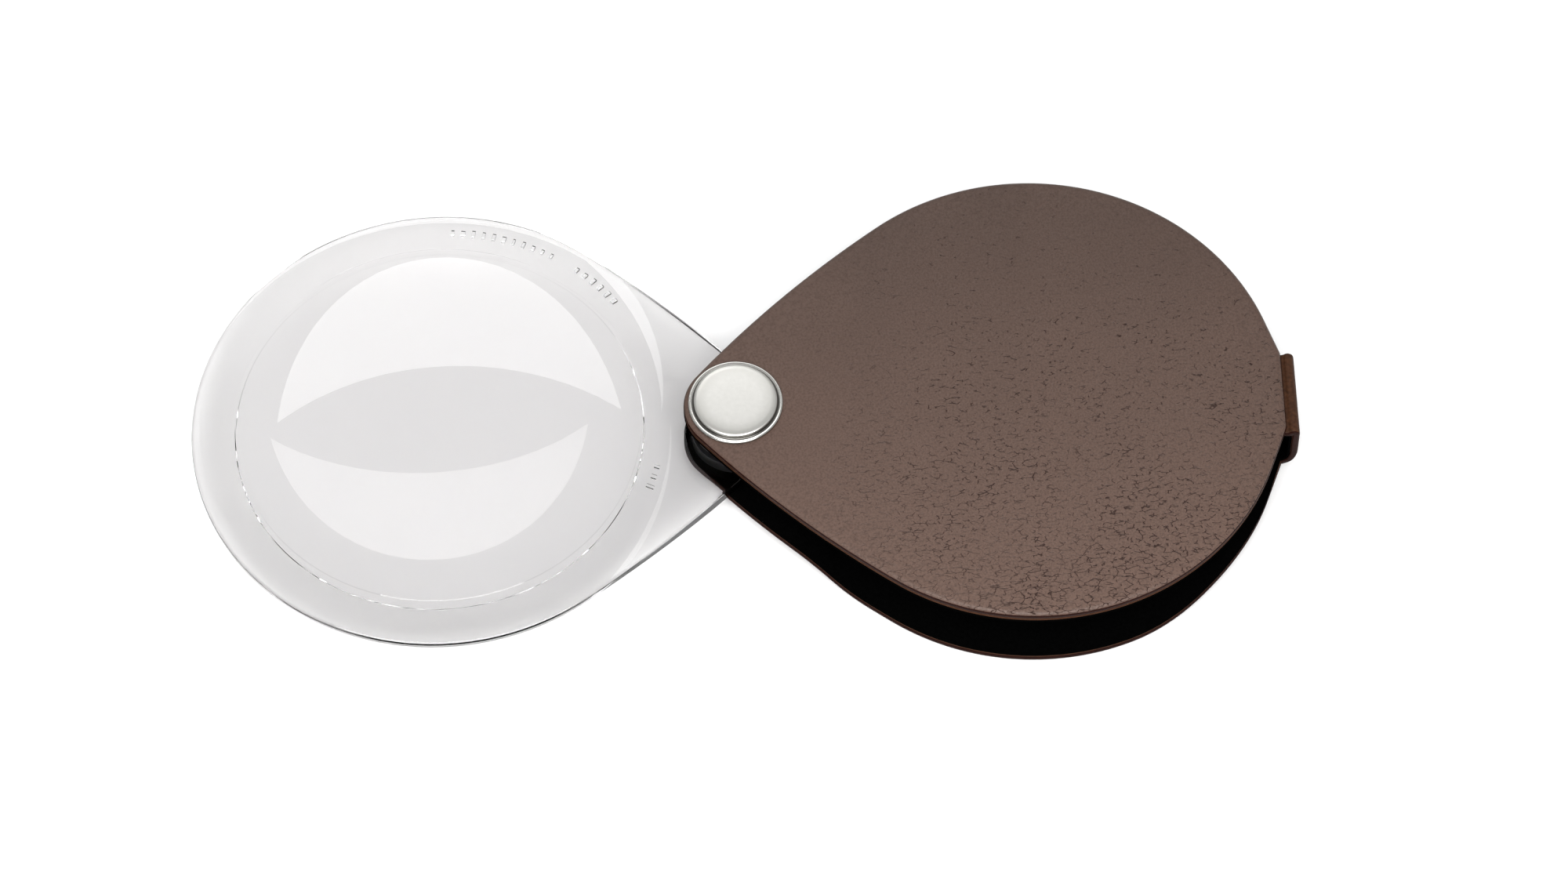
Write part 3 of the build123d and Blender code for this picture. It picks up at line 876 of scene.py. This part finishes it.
# The height is read at the rivet's end of the flange, which is 0.12 mm thicker, so with this lift the middle
# of a mark stands 0.14 mm above the flange round it.
MARK_LIFT = 0.02
MARK_ROWS = ((86.0, -2.7, 11), (51.0, -2.7, 6), (-15.0, -3.0, 3))  # first angle, step and count
disc_centre = Vector(
    (RIVET_X + span * math.cos(OPEN_ANGLE), RIVET_Y + span * math.sin(OPEN_ANGLE), LENS_LEVEL)
)
flange_slope = math.atan2(DISC_HALF - STEP - LIP_HALF, LIP_START - DISC_RADIUS)
tree, inputs = marks_tree()
for first, step, count in MARK_ROWS:
    row = mesh_object("marks", [], [])
    builder = row.modifiers.new("marks", "NODES")
    builder.node_group = tree
    for name, value in (
        ("Arc Radius", MARK_RADIUS * MM),
        ("First Angle", math.radians(first)),
        ("Angle Step", math.radians(step)),
        ("Height", (float(flange_half(0.0, MARK_RADIUS)) + MARK_LIFT) * MM),
        ("Tilt", flange_slope),
        ("Count", count),
    ):
        builder[inputs[name]] = value
    bpy.context.view_layer.update()
    mesh = bpy.data.meshes.new_from_object(row.evaluated_get(bpy.context.evaluated_depsgraph_get()))
    row.modifiers.clear()
    row.data = mesh
    mesh.transform(Matrix.Translation(disc_centre * MM))
    clean(row)
    combine(lens, row, "UNION")
finish_piece(lens, "lens", "clear_acrylic", "lens", sharp=12)

# %% [markdown]
# ## Rivet caps
#
# Each cap is pressed from thin nickel-plated sheet: a rolled rim that beds into the leather, a narrow
# riser and a faintly crowned face. The face is brushed satin and is painted darker towards its edge as
# shade, the groove round it is painted dark as shade, and the rim is bright from rubbing, so the finish
# changes with the distance from the axis.

# %% Nickel plate
nickel, tree, shader = new_material("satin_nickel_plate", Metallic=1.0)
where = add_node(tree, "ShaderNodeTexCoord").outputs["Object"]
centred = add_node(
    tree, "ShaderNodeMapping", {"Vector": where, "Location": (-RIVET_X * MM, -RIVET_Y * MM, 0.0)}
).outputs["Vector"]
flat = add_node(
    tree, "ShaderNodeVectorMath", {0: centred, 1: (1.0, 1.0, 0.0)}, operation="MULTIPLY"
).outputs["Vector"]
off_axis = add_node(tree, "ShaderNodeVectorMath", {0: flat}, operation="LENGTH").outputs["Value"]
fine = {"Vector": where, "Scale": per_metre(0.7), "Detail": 6.0}
scuff = add_node(tree, "ShaderNodeTexNoise", fine, "Fac")
# The satin face gives way to the bright rim across the groove.
rub = (off_axis, 6.1 * MM, 6.45 * MM, 0.34, 0.16)
roughness = add_node(tree, "ShaderNodeMapRange", rub, 0)
tree.links.new(roughness, shader.inputs["Roughness"])
mix = {0: scuff, 6: linear("#C0BFBB"), 7: linear("#CDCCC8")}
tone = add_node(tree, "ShaderNodeMix", mix, 2, data_type="RGBA")
# Painted shade: the face is painted darker from 3.5 mm out towards the groove, dimming the light that it
# mirrors there.
painted_outer_shade = (off_axis, 3.5 * MM, 5.8 * MM, 0.0, 0.6)
painted_outer_shade = add_node(tree, "ShaderNodeMapRange", painted_outer_shade, 0, **SMOOTH)
mix = {0: painted_outer_shade, 6: tone, 7: linear("#AAA9A4")}
faced = add_node(tree, "ShaderNodeMix", mix, 2, data_type="RGBA")
# Painted shade: the groove at the foot of the riser is painted dark.
into_groove = (off_axis, 6.14 * MM, 6.22 * MM, 0.0, 1.0)
into_groove = add_node(tree, "ShaderNodeMapRange", into_groove, 0, **SMOOTH)
out_of_groove = (off_axis, 6.42 * MM, 6.62 * MM, 0.85, 0.0)
out_of_groove = add_node(tree, "ShaderNodeMapRange", out_of_groove, 0, **SMOOTH)
groove_shade = add_node(tree, "ShaderNodeMath", (into_groove, out_of_groove), 0, operation="MULTIPLY")
mix = {0: groove_shade, 6: faced, 7: linear("#34312D")}
tree.links.new(add_node(tree, "ShaderNodeMix", mix, 2, data_type="RGBA"), shader.inputs["Base Color"])
bump = add_node(
    tree, "ShaderNodeBump", {"Height": scuff, "Strength": 0.15, "Distance": 0.03 * MM}
).outputs["Normal"]
tree.links.new(bump, shader.inputs["Normal"])

# %% Caps, post and tube
CAP_PROFILE = [  # distance from the axis, height above the leather
    (0.0, 1.30),
    (2.0, 1.297),
    (4.0, 1.285),
    (5.2, 1.265),
    (5.80, 1.235),
    (6.05, 1.16),
    (6.16, 1.04),
    (6.20, 0.90),
    (6.23, 0.74),
    (6.30, 0.64),
    (6.42, 0.58),
    (6.56, 0.57),
    (6.70, 0.60),
    (6.82, 0.61),
    (6.92, 0.56),
    (6.98, 0.45),
    (7.00, 0.30),
    (6.98, 0.12),
    (6.86, 0.02),
    (6.60, 0.00),
    (5.98, 0.00),
    (5.95, 0.60),
    (5.80, 0.80),
    (0.0, 0.80),
]


def cap(name, level, sign):
    """A cap on a face at a level, standing up (+1) or down (-1)."""
    sides = 128
    turn = np.linspace(0, 2 * math.pi, sides, endpoint=False)
    rings = [
        np.column_stack(
            [RIVET_X + r * np.cos(turn), RIVET_Y + r * np.sin(turn), np.full(sides, level + sign * h)]
        )
        for r, h in CAP_PROFILE
    ]
    made = mesh_object(name, np.concatenate(rings), skin(rings), (nickel,))
    clean(made)
    return made


finish_piece(cap("cap_top", CASE_TOP, 1), "case", "nickel_plate", "rivet_cap_top", sharp=40)
finish_piece(cap("cap_bottom", TAIL_RISE, -1), "case", "nickel_plate", "rivet_cap_bottom", sharp=40)
for name in ("rivet_post", "rivet_tube"):
    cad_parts[name].data.materials.clear()
    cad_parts[name].data.materials.append(nickel)
